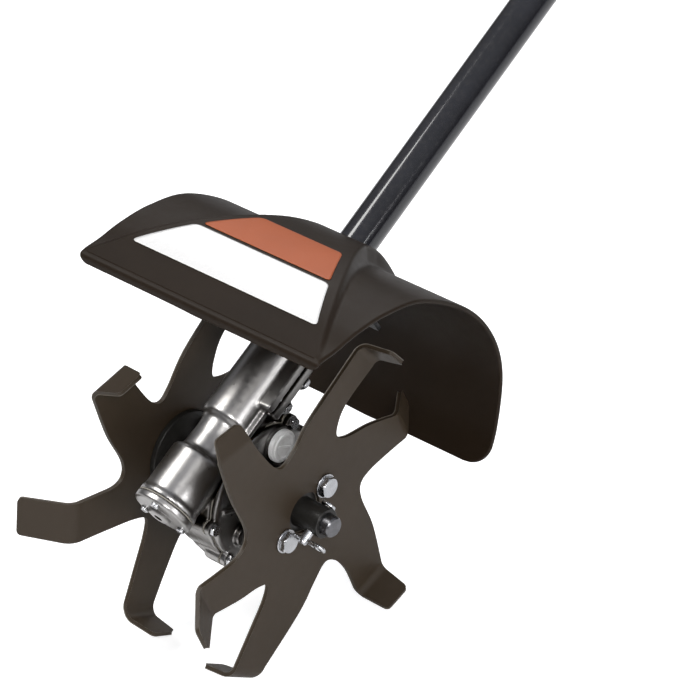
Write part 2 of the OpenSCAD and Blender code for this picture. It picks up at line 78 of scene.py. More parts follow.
# ---------------------------------------------------------------- materials
def mat(name, base, metallic=0.0, rough=0.4, rvar=0.12, vary=0.25, scale=90.0, bump=0.15, bscale=900.0,
        wear=None, wear_amt=0.0, dust=None, dust_amt=0.0, coat=0.0, spec=0.5, bdist=0.0004, stretch=None, wmetal=None):
    m = bpy.data.materials.new(name)
    m.use_nodes = True
    nt = m.node_tree
    N, L = nt.nodes, nt.links
    b = N["Principled BSDF"]
    tc = N.new("ShaderNodeTexCoord")
    mp = N.new("ShaderNodeMapping")
    if stretch:
        mp.inputs["Scale"].default_value = stretch
        mp.inputs["Rotation"].default_value = (LEAN, 0, 0)
    L.new(tc.outputs["Object"], mp.inputs["Vector"])

    def noise(s, d=4.0, r=0.55):
        n = N.new("ShaderNodeTexNoise")
        n.inputs["Scale"].default_value = s
        n.inputs["Detail"].default_value = d
        n.inputs["Roughness"].default_value = r
        L.new(mp.outputs["Vector"], n.inputs["Vector"])
        return n

    def ramp(src, a, c, ca=(0, 0, 0, 1), cc=(1, 1, 1, 1)):
        r = N.new("ShaderNodeValToRGB")
        r.color_ramp.elements[0].position = a
        r.color_ramp.elements[1].position = c
        r.color_ramp.elements[0].color = ca
        r.color_ramp.elements[1].color = cc
        L.new(src, r.inputs["Fac"])
        return r

    def mix(fac, a, c):
        x = N.new("ShaderNodeMix")
        x.data_type = "RGBA"
        if isinstance(fac, float):
            x.inputs[0].default_value = fac
        else:
            L.new(fac, x.inputs[0])
        for i, v in ((6, a), (7, c)):
            if isinstance(v, tuple):
                x.inputs[i].default_value = v
            else:
                L.new(v, x.inputs[i])
        return x.outputs[2]

    lo = tuple(max(0.0, v * (1 - vary)) for v in base[:3]) + (1,)
    hi = tuple(min(1.0, v * (1 + vary)) for v in base[:3]) + (1,)
    n1 = noise(scale)
    col = ramp(n1.outputs["Fac"], 0.3, 0.7, lo, hi).outputs["Color"]
    n2 = noise(scale * 7.3, 6.0, 0.65)
    met = None
    if dust:
        dn = ramp(n2.outputs["Fac"], 0.48, 0.75)
        geo = N.new("ShaderNodeNewGeometry")
        sep = N.new("ShaderNodeSeparateXYZ")
        L.new(geo.outputs["Normal"], sep.inputs[0])
        up = ramp(sep.outputs["Z"], 0.2, 1.0)
        mul = N.new("ShaderNodeMath")
        mul.operation = "MULTIPLY"
        L.new(dn.outputs["Color"], mul.inputs[0])
        L.new(up.outputs["Color"], mul.inputs[1])
        m2 = N.new("ShaderNodeMath")
        m2.operation = "MULTIPLY"
        m2.inputs[1].default_value = dust_amt
        L.new(mul.outputs[0], m2.inputs[0])
        col = mix(m2.outputs[0], col, tuple(dust) + (1,))
    if wear:
        geo2 = N.new("ShaderNodeNewGeometry")
        pr = ramp(geo2.outputs["Pointiness"], 0.53, 0.62)
        sc = ramp(noise(scale * 3.1, 8.0, 0.7).outputs["Fac"], 0.45, 0.62)
        mw = N.new("ShaderNodeMath")
        mw.operation = "MULTIPLY"
        L.new(pr.outputs["Color"], mw.inputs[0])
        L.new(sc.outputs["Color"], mw.inputs[1])
        m3 = N.new("ShaderNodeMath")
        m3.operation = "MULTIPLY"
        m3.inputs[1].default_value = wear_amt
        L.new(mw.outputs[0], m3.inputs[0])
        col = mix(m3.outputs[0], col, tuple(wear) + (1,))
        if wmetal is not None:
            met = m3.outputs[0]
    L.new(col, b.inputs["Base Color"])
    b.inputs["Metallic"].default_value = metallic
    if met is not None:
        mr0 = N.new("ShaderNodeMapRange")
        mr0.inputs["To Min"].default_value = metallic
        mr0.inputs["To Max"].default_value = wmetal
        L.new(met, mr0.inputs["Value"])
        L.new(mr0.outputs["Result"], b.inputs["Metallic"])
    mr = N.new("ShaderNodeMapRange")
    mr.inputs["From Min"].default_value = 0.3
    mr.inputs["From Max"].default_value = 0.7
    mr.inputs["To Min"].default_value = max(0.03, rough - rvar)
    mr.inputs["To Max"].default_value = min(1.0, rough + rvar)
    L.new(n2.outputs["Fac"], mr.inputs["Value"])
    L.new(mr.outputs["Result"], b.inputs["Roughness"])
    b.inputs["Specular IOR Level"].default_value = spec
    if coat:
        b.inputs["Coat Weight"].default_value = coat
        b.inputs["Coat Roughness"].default_value = 0.06
    bn = noise(bscale, 5.0, 0.6)
    bm = N.new("ShaderNodeBump")
    bm.inputs["Strength"].default_value = bump
    bm.inputs["Distance"].default_value = bdist
    L.new(bn.outputs["Fac"], bm.inputs["Height"])
    L.new(bm.outputs["Normal"], b.inputs["Normal"])
    return m


M = {
    "tube_black": mat("tube_black", (0.012, 0.0125, 0.016), 0.0, 0.16, 0.05, 0.2, 40, 0.06, 500, coat=0.8,
                      wear=(0.09, 0.09, 0.095), wear_amt=0.5, dust=(0.2, 0.18, 0.15), dust_amt=0.1, bdist=0.0002),
    "case_aluminium": mat("case_aluminium", (0.42, 0.41, 0.4), 1.0, 0.32, 0.05, 0.06, 40, 0.12, 260, bdist=0.0004,
                          wear=(0.85, 0.85, 0.86), wear_amt=0.6),
    "steel_bright": mat("steel_bright", (0.66, 0.67, 0.69), 1.0, 0.24, 0.08, 0.12, 160, 0.12, 1500, bdist=0.0002),
    "steel_dark": mat("steel_dark", (0.22, 0.22, 0.23), 1.0, 0.33, 0.1, 0.2, 140, 0.15, 1200, bdist=0.0002),
    "bronze": mat("bronze", (0.62, 0.43, 0.2), 1.0, 0.3, 0.1, 0.2, 120, 0.12, 1200, bdist=0.0002),
    "gasket_fibre": mat("gasket_fibre", (0.3, 0.28, 0.24), 0.0, 0.8, 0.1, 0.25, 300, 0.3, 2500),
    "seal_rubber": mat("seal_rubber", (0.02, 0.02, 0.021), 0.0, 0.6, 0.1, 0.3, 200, 0.2, 2000),
    "carrier_plastic": mat("carrier_plastic", (0.05, 0.05, 0.055), 0.0, 0.5, 0.1, 0.3, 200, 0.2, 1500),
    "plug_grey": mat("plug_grey", (0.95, 0.95, 0.94), 0.0, 0.5, 0.1, 0.12, 200, 0.18, 1600),
    "tine_paint": mat("tine_paint", (0.041, 0.0285, 0.017), 0.0, 0.48, 0.03, 0.07, 18, 0.12, 700, bdist=0.0002,
                      dust=(0.12, 0.1, 0.08), dust_amt=0.04, spec=0.35),
    # tine_edge: lighter colour for the chamfer faces of the tine plates, a painted edge highlight for light caught on
    # the sheet edges, together with worn paint there
    "tine_edge": mat("tine_edge", (0.11, 0.095, 0.075), 0.1, 0.45, 0.08, 0.35, 160, 0.12, 900, bdist=0.0002),
    "hub_black": mat("hub_black", (0.02, 0.019, 0.017), 0.2, 0.38, 0.1, 0.3, 90, 0.2, 800,
                     wear=(0.3, 0.29, 0.27), wear_amt=0.7, wmetal=0.9),
    "guard_plastic": mat("guard_plastic", (0.0145, 0.0078, 0.003), 0.0, 0.5, 0.03, 0.12, 16, 0.25, 1500, bdist=0.00015,
                         wear=(0.09, 0.075, 0.06), wear_amt=0.5, dust=(0.1, 0.08, 0.06), dust_amt=0.03, spec=0.22),
    "bracket_black": mat("bracket_black", (0.02, 0.02, 0.021), 0.3, 0.42, 0.1, 0.3, 90, 0.2, 900,
                         wear=(0.3, 0.3, 0.3), wear_amt=0.6, wmetal=0.9),
    "label_white": mat("label_white", (0.86, 0.86, 0.85), 0.0, 0.28, 0.06, 0.02, 30, 0.06, 900, coat=0.3,
                       dust=(0.5, 0.46, 0.4), dust_amt=0.04, bdist=0.0002),
    "label_orange": mat("label_orange", (0.4, 0.085, 0.018), 0.0, 0.5, 0.03, 0.04, 30, 0.03, 900, coat=0.08,
                        dust=(0.5, 0.3, 0.2), dust_amt=0.025, bdist=0.0002),
    "label_black": mat("label_black", (0.012, 0.011, 0.01), 0.0, 0.3, 0.06, 0.2, 30, 0.06, 900, bdist=0.0002),
    "inside_dark": mat("inside_dark", (0.012, 0.01, 0.008), 0.0, 0.6, 0.1, 0.3, 60, 0.2, 900),
}
SLOT = {s["node"]: s["material_slot"] for s in frame["record"]["subparts"]}


def paint_occlusion_shade(m, colour, lo, hi, reach):
    """Painted shade: darken a material's base colour where the surface is sheltered by what stands around it, from
    ambient occlusion.
    """
    nt = m.node_tree
    N, L = nt.nodes, nt.links
    b = N["Principled BSDF"]
    src = b.inputs["Base Color"].links[0].from_socket
    ao = N.new("ShaderNodeAmbientOcclusion")
    ao.samples = 8
    ao.inputs["Distance"].default_value = reach
    r = N.new("ShaderNodeMapRange")
    r.inputs["From Min"].default_value = lo
    r.inputs["From Max"].default_value = hi
    L.new(ao.outputs["AO"], r.inputs["Value"])
    x = N.new("ShaderNodeMix")
    x.data_type = "RGBA"
    L.new(r.outputs["Result"], x.inputs[0])
    x.inputs[6].default_value = tuple(colour) + (1,)
    L.new(src, x.inputs[7])
    L.new(x.outputs[2], b.inputs["Base Color"])


# painted shade: the casting's base colour is darkened in its recesses and at the waist between neck and worm cylinder
paint_occlusion_shade(M["case_aluminium"], (0.035, 0.027, 0.019), 0.45, 0.95, 0.03)
# painted shade: the bright steel's base colour is darkened in the sheltered crevices of heads and threads
paint_occlusion_shade(M["steel_bright"], (0.1, 0.085, 0.07), 0.2, 0.7, 0.006)


def put_mat(o, name):
    o.data.materials.clear()
    o.data.materials.append(M[name])


for n, o in frame["nodes"].items():
    put_mat(o, SLOT[n])


# ---------------------------------------------------------------- mesh helpers (shaft frame, mm)
def smooth(me, angle=32.0):
    bm = bmesh.new()
    bm.from_mesh(me)
    lim = math.radians(angle)
    for f in bm.faces:
        f.smooth = True
    for e in bm.edges:
        e.smooth = not (len(e.link_faces) == 2 and e.calc_face_angle(0.0) > lim)
    bm.to_mesh(me)
    bm.free()


def obj(name, verts, faces, material, body, nodes=(), angle=32.0, bevel=None, segs=2, slot=None):
    me = bpy.data.meshes.new(name)
    v = (np.asarray(verts, float) + np.array([0.0, CD, -UP0])) * MM
    c, s = math.cos(LEAN), math.sin(LEAN)
    w = np.column_stack([v[:, 0], v[:, 1] * c + v[:, 2] * s, -v[:, 1] * s + v[:, 2] * c])
    me.from_pydata(w.tolist(), [], [list(map(int, f)) for f in faces])
    me.validate()
    bm = bmesh.new()
    bm.from_mesh(me)
    bmesh.ops.recalc_face_normals(bm, faces=bm.faces)
    bm.to_mesh(me)
    bm.free()
    o = bpy.data.objects.new(name, me)
    bpy.context.scene.collection.objects.link(o)
    if material:
        put_mat(o, material)
    smooth(me, angle)
    if bevel:
        b = o.modifiers.new("bevel", "BEVEL")
        b.width = bevel * MM
        b.segments = segs
        b.limit_method = "ANGLE"
        b.angle_limit = math.radians(32)
        b.harden_normals = True
    if body:
        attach(o, body)
        if nodes:
            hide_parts(*nodes)
    return o


class Mesh:
    """A growing list of vertices and faces, in the shaft frame, in mm."""

    def __init__(self):
        self.v, self.f, self.shells = [], [], []

    def add(self, v, f, T=None):
        o = len(self.v)
        self.shells.append((o, o + len(v), len(self.f), len(self.f) + len(f)))
        v = [Vector(p) for p in v]
        if T is not None:
            v = [T @ p for p in v]
        self.v += [tuple(p) for p in v]
        self.f += [[o + i for i in q] for q in f]
        return self

    def make(self, name, material, body, nodes=(), **k):
        return obj(name, self.v, self.f, material, body, nodes, **k)


def X(x, y, z, ax=(0, 0, 1), up=0.0):
    """Place local +Z along ax at (x, y, z)."""
    q = Vector((0, 0, 1)).rotation_difference(Vector(ax).normalized())
    return Matrix.Translation((x, y, z)) @ q.to_matrix().to_4x4() @ Matrix.Rotation(up, 4, "Z")


def rounded(pts, r, n=4):
    """Round the corners of a closed or open list of (r, z) points."""
    out = []
    k = len(pts)
    for i in range(k):
        p = np.array(pts[i], float)
        a = np.array(pts[(i - 1) % k], float)
        b = np.array(pts[(i + 1) % k], float)
        rr = pts[i][2] if len(pts[i]) > 2 else r
        p, a, b = p[:2], a[:2], b[:2]
        da, db = a - p, b - p
        la, lb = np.linalg.norm(da), np.linalg.norm(db)
        if rr <= 0 or la < 1e-6 or lb < 1e-6:
            out.append(tuple(p))
            continue
        rr = min(rr, la * 0.45, lb * 0.45)
        s, e = p + da / la * rr, p + db / lb * rr
        for j in range(n + 1):
            t = j / n
            out.append(tuple((1 - t) ** 2 * s + 2 * t * (1 - t) * p + t * t * e))
    return out


def lathe(m, prof, T, seg=72, r=0.35, a0=0.0, a1=360.0, wob=None):
    """Closed profile of (radius, height[, corner radius]) turned about local Z."""
    p = rounded(prof, r)
    full = abs(a1 - a0) >= 359.99
    n = seg if full else seg + 1
    v = []
    for j in range(n):
        a = math.radians(a0 + (a1 - a0) * j / seg)
        for q in p:
            rr = max(q[0], 0.0)
            if wob:
                rr = wob(rr, a, q[1])
            v.append((rr * math.cos(a), rr * math.sin(a), q[1]))
    k = len(p)
    f = []
    for j in range(seg if full else seg):
        j2 = (j + 1) % n
        for i in range(k):
            i2 = (i + 1) % k
            f.append([j * k + i, j2 * k + i, j2 * k + i2, j * k + i2])
    if not full:
        f.append(list(range(k)))
        f.append([seg * k + i for i in range(k)][::-1])
    m.add(v, f, T)
    return m


def prism(m, pts, h0, h1, T, ch=0.0):
    """Outline (x, y) from height h0 to h1, with a small chamfer ch on both rims."""
    P = np.array(pts, float)
    k = len(P)
    d1 = P - np.roll(P, 1, 0)
    d2 = np.roll(P, -1, 0) - P
    n1 = np.column_stack([d1[:, 1], -d1[:, 0]])
    n2 = np.column_stack([d2[:, 1], -d2[:, 0]])
    n1 /= np.linalg.norm(n1, axis=1)[:, None] + 1e-12
    n2 /= np.linalg.norm(n2, axis=1)[:, None] + 1e-12
    nn = n1 + n2
    nn /= (np.linalg.norm(nn, axis=1)[:, None] + 1e-12)
    area = 0.5 * np.sum(P[:, 0] * np.roll(P[:, 1], -1) - np.roll(P[:, 0], -1) * P[:, 1])
    if area < 0:
        nn = -nn
    Q = P - nn * ch
    rings = [(Q, h0), (P, h0 + ch), (P, h1 - ch), (Q, h1)] if ch > 0 else [(P, h0), (P, h1)]
    v = [(x, y, h) for R, h in rings for x, y in R]
    f = [list(range(k))[::-1], [(len(rings) - 1) * k + i for i in range(k)]]
    for r in range(len(rings) - 1):
        for i in range(k):
            j = (i + 1) % k
            f.append([r * k + i, r * k + j, (r + 1) * k + j, (r + 1) * k + i])
    m.add(v, f, T)
    return m


def box(m, lo, hi, ch=0.0, T=None):
    T0 = Matrix.Translation((0, 0, 0)) if T is None else T
    prism(m, [(lo[0], lo[1]), (hi[0], lo[1]), (hi[0], hi[1]), (lo[0], hi[1])], lo[2], hi[2], T0, ch)
    return m


def wire(m, path, r, seg=14, closed=False):
    """Round wire along a path of 3-D points."""
    P = [Vector(p) for p in path]
    n = len(P)
    v, f = [], []
    ref = None
    for i in range(n):
        t = (P[(i + 1) % n] - P[i - 1]) if closed else (P[min(i + 1, n - 1)] - P[max(i - 1, 0)])
        t.normalize()
        if ref is None:
            ref = t.orthogonal()
        ref = (ref - t * ref.dot(t)).normalized()
        bn = t.cross(ref)
        for j in range(seg):
            a = 2 * math.pi * j / seg
            v.append(tuple(P[i] + ref * (r * math.cos(a)) + bn * (r * math.sin(a))))
    for i in range(n if closed else n - 1):
        i2 = (i + 1) % n
        for j in range(seg):
            j2 = (j + 1) % seg
            f.append([i * seg + j, i * seg + j2, i2 * seg + j2, i2 * seg + j])
    if not closed:
        f.append(list(range(seg))[::-1])
        f.append([(n - 1) * seg + j for j in range(seg)])
    m.add(v, f)
    return m


def hexhead(m, T, af, h, top=True, washer=0.0):
    """Hexagon head with a turned chamfer: local z from 0 up to h."""
    R = af / 2 / math.cos(math.pi / 6)
    seg = 48
    rings = []
    for zz, lim in ((0.0, R), (h * 0.72, R), (h * 0.86, R * 0.965), (h, R * 0.87)):
        ring = []
        for j in range(seg):
            a = 2 * math.pi * j / seg
            hr = (af / 2) / math.cos(((a + math.pi / 6) % (math.pi / 3)) - math.pi / 6)
            q = min(hr, lim)
            ring.append((q * math.cos(a), q * math.sin(a), zz))
        rings.append(ring)
    v = [p for r in rings for p in r]
    f = [list(range(seg))[::-1], [3 * seg + j for j in range(seg)]]
    for r in range(3):
        for j in range(seg):
            j2 = (j + 1) % seg
            f.append([r * seg + j, r * seg + j2, (r + 1) * seg + j2, (r + 1) * seg + j])
    m.add(v, f, T)
    return m


def threaded(m, T, r, z0, z1, pitch=1.0):
    """Shank with thread ridges between z0 and z1."""
    prof = [(0.0, z0), (r - 0.5, z0)]
    z = z0 + 0.3
    while z < z1 - pitch:
        prof += [(r - 0.45, z), (r, z + pitch * 0.4), (r, z + pitch * 0.55)]
        z += pitch
    prof += [(r - 0.5, z1 - 0.1), (r - 0.9, z1), (0.0, z1)]
    lathe(m, prof, T, 32, 0.0)
    return m


def nut(m, T, af, h, r):
    R = af / 2 / math.cos(math.pi / 6)
    seg = 48
    rings = []
    for zz, lim, inner in ((0.0, r + 0.35, 1), (0.0, R * 0.88, 0), (h * 0.14, R * 0.97, 0), (h * 0.24, R, 0), (h * 0.76, R, 0),
                           (h * 0.86, R * 0.97, 0), (h, R * 0.88, 0), (h, r + 0.35, 1), (h * 0.9, r, 1), (h * 0.1, r, 1)):
        ring = []
        for j in range(seg):
            a = 2 * math.pi * j / seg
            hr = (af / 2) / math.cos(((a + math.pi / 6) % (math.pi / 3)) - math.pi / 6)
            q = lim if inner else min(hr, lim)
            ring.append((q * math.cos(a), q * math.sin(a), zz))
        rings.append(ring)
    k = len(rings)
    v = [p for rr in rings for p in rr]
    f = []
    for q in range(k):
        q2 = (q + 1) % k
        for j in range(seg):
            j2 = (j + 1) % seg
            f.append([q * seg + j, q * seg + j2, q2 * seg + j2, q2 * seg + j])
    m.add(v, f, T)
    return m


def modify(o, kind, **k):
    md = o.modifiers.new(kind.lower(), kind)
    for a, b in k.items():
        setattr(md, a, b)
    return md


def bake(o):
    """Apply every modifier of o into its mesh."""
    bpy.context.view_layer.update()
    dg = bpy.context.evaluated_depsgraph_get()
    me = bpy.data.meshes.new_from_object(o.evaluated_get(dg))
    mats = [s for s in o.data.materials]
    o.modifiers.clear()
    o.data = me
    me.materials.clear()
    for s in mats:
        me.materials.append(s)
    return o


def carve(o, cut):
    """Take each closed shell of cut out of o, one after another."""
    for v0, v1, f0, f1 in cut.shells:
        c = obj("cutter", cut.v[v0:v1], [[i - v0 for i in f] for f in cut.f[f0:f1]], None, None)
        before = len(o.data.polygons)
        modify(o, "BOOLEAN", operation="DIFFERENCE", object=c, solver="MANIFOLD")
        bake(o)
        bpy.data.objects.remove(c)
        if len(o.data.polygons) == 0:
            raise RuntimeError("carving emptied " + o.name)
    return o


def cast(name, m, cut, body, nodes, material="case_aluminium", vox=0.8, it=8, angle=36.0):
    """Union of the closed shells in m as one casting with soft inner corners, with cut taken out."""
    o = obj(name, m.v, m.f, material, None)
    modify(o, "REMESH", mode="VOXEL", voxel_size=vox * MM * 1.0)
    modify(o, "SMOOTH", factor=0.5, iterations=it)
    bake(o)
    if cut is not None:
        carve(o, cut)
    smooth(o.data, angle)
    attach(o, body)
    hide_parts(*nodes)
    return o


def cr(p, n):
    """Catmull-Rom through points, n steps a span."""
    P = [np.array(q, float) for q in p]
    out = []
    for i in range(len(P) - 1):
        a, b, c, d = P[max(i - 1, 0)], P[i], P[i + 1], P[min(i + 2, len(P) - 1)]
        for k in range(n):
            t = k / n
            out.append(0.5 * (2 * b + (c - a) * t + (2 * a - 5 * b + 4 * c - d) * t * t + (3 * b - a - 3 * c + d) * t ** 3))
    out.append(P[-1])
    return np.array(out)


# ---------------------------------------------------------------- guard
ARCH = [(-139.5, 42.5), (-143.5, 48), (-137, 63), (-130, 81), (-117, 104), (-94, 129.5), (-52, 151.5), (-12, 158), (24, 149.5), (57, 123.5), (73, 100.5)]
HOOD = [(-144.5, 49), (-139.5, 64), (-133, 82), (-121, 105), (-101.5, 131), (-79, 151), (-54, 162), (-28, 163.5), (-4, 159.5), (12, 152)]
arch = cr(ARCH, 24)
hood = cr(HOOD, 24)
th_a = np.unwrap(np.arctan2(arch[:, 1], -arch[:, 0]))
ra_a = np.hypot(arch[:, 0], arch[:, 1])
th_h = np.unwrap(np.arctan2(hood[:, 1], -hood[:, 0]))
ra_h = np.hypot(hood[:, 0], hood[:, 1])
DS = np.array([69.0, 98.0]) / math.hypot(69, 98)


def guard_r(x, th):
    """Outer radius of the guard about the axle line at (x, angle)."""
    ra = np.interp(th, th_a, ra_a)
    rh = np.interp(th, th_h, ra_h, left=0.0, right=0.0)
    y, z = -ra * np.cos(th), ra * np.sin(th)
    s = (y + 143) * DS[0] + (z - 51) * DS[1]
    hw = np.interp(s, [-4, 2, 122, 135, 200], [98, 97, 27, 24, 24])
    wall = np.interp(s, [0, 60, 125], [5.0, 7.0, 9.0])
    t = np.clip((hw - np.abs(x)) / wall + 0.5, 0, 1)
    t = t * t * (3 - 2 * t)
    lift = np.maximum(rh - ra, 0.0)
    lift = np.where(rh > 0, np.sqrt(lift ** 2 + 0.25) - 0.5, 0.0)
    return ra + np.maximum(lift, 0) * t


def guard_sheet():
    nu, nv = ((241, 230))
    xs = np.linspace(-100, 100, nu)
    # rim: slightly rounded corners at the lower ends of the opening
    ths = np.interp(np.linspace(0, 1, nv), np.linspace(0, 1, len(th_a)), th_a)
    v, f = [], []
    outer = []
    for j, th in enumerate(ths):
        r = guard_r(xs, np.full_like(xs, th))
        outer.append(np.column_stack([xs, -r * np.cos(th), r * np.sin(th)]))
    G = np.array(outer)                       # nv, nu, 3
    # rounded rear and front corners: pull the last rows in towards the side rims
    for j in range(nv):
        d_end = np.linalg.norm(G[-1, nu // 2, 1:] - G[j, nu // 2, 1:])
        if d_end < 16:
            inset = 16 - math.sqrt(max(0.0, 16 ** 2 - (16 - d_end) ** 2))
            G[j, :, 0] *= (100 - inset) / 100
        d_fr = np.linalg.norm(G[0, nu // 2, 1:] - G[j, nu // 2, 1:])
        if d_fr < 6:
            inset = 6 - math.sqrt(max(0.0, 6 ** 2 - (6 - d_fr) ** 2))
            G[j, :, 0] *= (100 - inset) / 100
    # normals
    du = np.gradient(G, axis=1)
    dv = np.gradient(G, axis=0)
    n = np.cross(du, dv)
    n /= np.linalg.norm(n, axis=2)[:, :, None]
    c = np.array([0, 0, 60.0]) - G
    flip = np.sign(np.sum(n * c, axis=2))[:, :, None]
    n_in = n * flip
    I = G + n_in * 3.0
    k = nv * nu

    def vid(layer, j, i):
        return layer * k + j * nu + i

    v = np.vstack([G.reshape(-1, 3), I.reshape(-1, 3)])
    for j in range(nv - 1):
        for i in range(nu - 1):
            f.append([vid(0, j, i), vid(0, j, i + 1), vid(0, j + 1, i + 1), vid(0, j + 1, i)])
            f.append([vid(1, j, i), vid(1, j + 1, i), vid(1, j + 1, i + 1), vid(1, j, i + 1)])
    # rounded rim joining the two layers
    rim = [(0, i) for i in range(nu)] + [(j, nu - 1) for j in range(1, nv)] + [(nv - 1, i) for i in range(nu - 2, -1, -1)] + [(j, 0) for j in range(nv - 2, 0, -1)]
    cen = {}
    extra = []
    base = 2 * k
    seg = 5
    for q, (j, i) in enumerate(rim):
        o_, i_ = G[j, i], I[j, i]
        mid = (o_ + i_) / 2
        jj = 1 if j == 0 else (nv - 2 if j == nv - 1 else j)
        ii = 1 if i == 0 else (nu - 2 if i == nu - 1 else i)
        out = G[j, i] - G[jj, ii]
        ax = (o_ - i_) / np.linalg.norm(o_ - i_)
        out = out - ax * np.dot(out, ax)
        out = out / (np.linalg.norm(out) + 1e-9)
        for s in range(1, seg):
            a = math.pi * s / seg
            extra.append(mid + ax * 1.5 * math.cos(a) + out * 1.5 * math.sin(a) * 0.75)
    v = np.vstack([v, np.array(extra)])
    R = len(rim)

    def rid(q, s):
        q %= R
        j, i = rim[q]
        if s == 0:
            return vid(0, j, i)
        if s == seg:
            return vid(1, j, i)
        return base + q * (seg - 1) + s - 1

    for q in range(R):
        for s in range(seg):
            f.append([rid(q, s), rid(q, s + 1), rid(q + 1, s + 1), rid(q + 1, s)])
    return v, f


gv, gf = guard_sheet()
guard = obj("guard_moulding", gv, gf, "guard_plastic", None, angle=50)
gcut = Mesh()
lathe(gcut, [(0, 120), (13.4, 120), (13.4, 190), (0, 190)], X(0, -CD, 0), 96, 0.0)
carve(guard, gcut)
smooth(guard.data, 50)
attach(guard, "frame")
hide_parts("guard_shell")

POST = [(26, -66), (-26, -66), (26, -30), (-26, -30)]
gm = Mesh()
for px, py in POST:
    top = math.sqrt(max(0.0, float(np.interp(math.atan2(140, -py), th_a, ra_a)) ** 2 - py * py)) - 2.0
    lathe(gm, [(2.0, 127.3), (5.2, 127.3), (5.4, top - 4), (8.0, top, 0), (2.0, top)], X(px, py, 0), 40, 0.3)
    for a in (0, 90, 180, 270):
        T = X(px, py, 0) @ Matrix.Rotation(math.radians(a + 45), 4, "Z")
        prism(gm, [(4.5, -0.9), (9.5, -0.9), (9.5, 0.9), (4.5, 0.9)], 134, top + 0.4, T, 0.2)
# the loop below adds nothing: no lugs or stiffening ribs are made on the underside of the sheet
for xr in (-62, -31, 31, 62):
    pass
gm.make("guard_posts", "guard_plastic", "frame")


# printed panel, following the raised face
def face_patch(name, a0, a1, w0, w1, off, material, nodes=(), rc=3.0):
    nv, nu = 40, 60
    v, f = [], []
    t0, t1 = math.radians(a0), math.radians(a1)
    for j in range(nv):
        t = j / (nv - 1)
        th = t0 + (t1 - t0) * t
        w = w0 + (w1 - w0) * t
        L = (t1 - t0) * 160
        e = min(t, 1 - t) * L
        if e < rc:
            w -= rc - math.sqrt(max(0.0, rc * rc - (rc - e) ** 2))
        xs = np.linspace(-w, w, nu)
        r = guard_r(np.zeros_like(xs), np.full_like(xs, th))
        for layer, q in ((0, off), (1, 0.04)):
            pass
        v += [(x, -(rr + off) * math.cos(th), (rr + off) * math.sin(th)) for x, rr in zip(xs, r)]
    for j in range(nv - 1):
        for i in range(nu - 1):
            f.append([j * nu + i, j * nu + i + 1, (j + 1) * nu + i + 1, (j + 1) * nu + i])
    o = obj(name, v, f, material, None, angle=60)
    modify(o, "SOLIDIFY", thickness=0.22 * MM, offset=-1.0)
    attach(o, "frame")
    if nodes:
        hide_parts(*nodes)
    return o


face_patch("panel_white", 27.2, 40.4, 78.5, 56.0, 0.3, "label_white", ("label_lower",))
face_patch("panel_orange", 41.5, 53.4, 54.0, 34.0, 0.3, "label_orange", ("label_upper",))

# ---------------------------------------------------------------- tube
tm = Mesh()
lathe(tm, [(11.1, 33), (12.7, 33, 0.6), (12.7, 600, 0.6), (11.1, 600, 0.4)], X(0, -CD, 0), 128, 0.4)
tube = obj("drive_tube", tm.v, tm.f, "tube_black", None)
tc_ = Mesh()
lathe(tc_, [(0, 0), (3.5, 0), (3.5, 20), (0, 20)], X(0, -CD, 575, (0, 1, 0)), 48, 0.0)
carve(tube, tc_)
smooth(tube.data, 32)
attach(tube, "frame")
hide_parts("shaft_tube")

# ---------------------------------------------------------------- gear case casting
SCR_R = 48.5
SCR_A = [-118, -78, -38, 2, 42, 82, 116]
CAP_A = [45, 165, 285]


def pol(a, r):
    return r * math.cos(math.radians(a)), r * math.sin(math.radians(a))


gc_ = Mesh()
AX = (1, 0, 0)
lathe(gc_, [(0, -17), (44.5, -17, 3), (48, -12, 2), (48, 17, 0.4), (0, 17)], X(0, 0, 0, AX), 128, 0.8)
for a in SCR_A:
    y, z = pol(a, SCR_R)
    lathe(gc_, [(0, 4), (4.6, 4, 1), (5, 7, 1), (5, 17, 0.3), (0, 17)], X(0, y, z, AX), 40, 0.5)
    lathe(gc_, [(0, -9), (2.0, -9, 1), (4.8, 4, 1), (0, 6)], X(0, y * 0.965, z * 0.965, AX), 32, 0.5)
lathe(gc_, [(0, -36), (15.2, -36, 1), (17, -34.5, 1), (18, -20, 1), (22, -14), (0, -14)], X(0, 0, 0, AX), 96, 1.0)
for k in range(6):
    T = Matrix.Rotation(math.radians(20 + 60 * k), 4, "X")
    prism(gc_, [(-31, 14), (-15, 37), (-10, 37), (-10, 14)], -1.6, 1.6, T @ Matrix.Rotation(0, 4, "Z"), 0.3)
# worm housing: lower cylinder, waist, upper neck
neck = X(0, -CD, 0)
lathe(gc_, [(0, -50), (20.5, -50, 0.5), (20.5, -46.5, 0.4), (19.6, -45.5, 0.4), (19.8, -13, 2), (15.4, -10.5, 1.5), (14.6, 4, 3), (15.2, 13, 2), (18.2, 16, 1.5), (18.2, 27, 2),
            (18.2, 30.6), (0, 30.6)], neck, 128, 1.0)
lathe(gc_, [(12.8, 30), (18.2, 30), (18, 71, 1), (19.4, 73.5, 1), (19.6, 78, 0.6), (12.8, 78, 0.5)], neck, 128, 0.8, 5.2, 354.8)
for s in (-1, 1):
    y0, y1 = (-8.0, -1.3) if s < 0 else (1.3, 8.0)
    box(gc_, (12.4, -CD + y0, 34), (25.6, -CD + y1, 76), 1.2)
box(gc_, (12, -CD - 2.5, 2), (21, -CD + 2.5, 35), 1.0)
box(gc_, (-14.5, -CD - 1, -13), (14.5, -10, 17), 3.0)
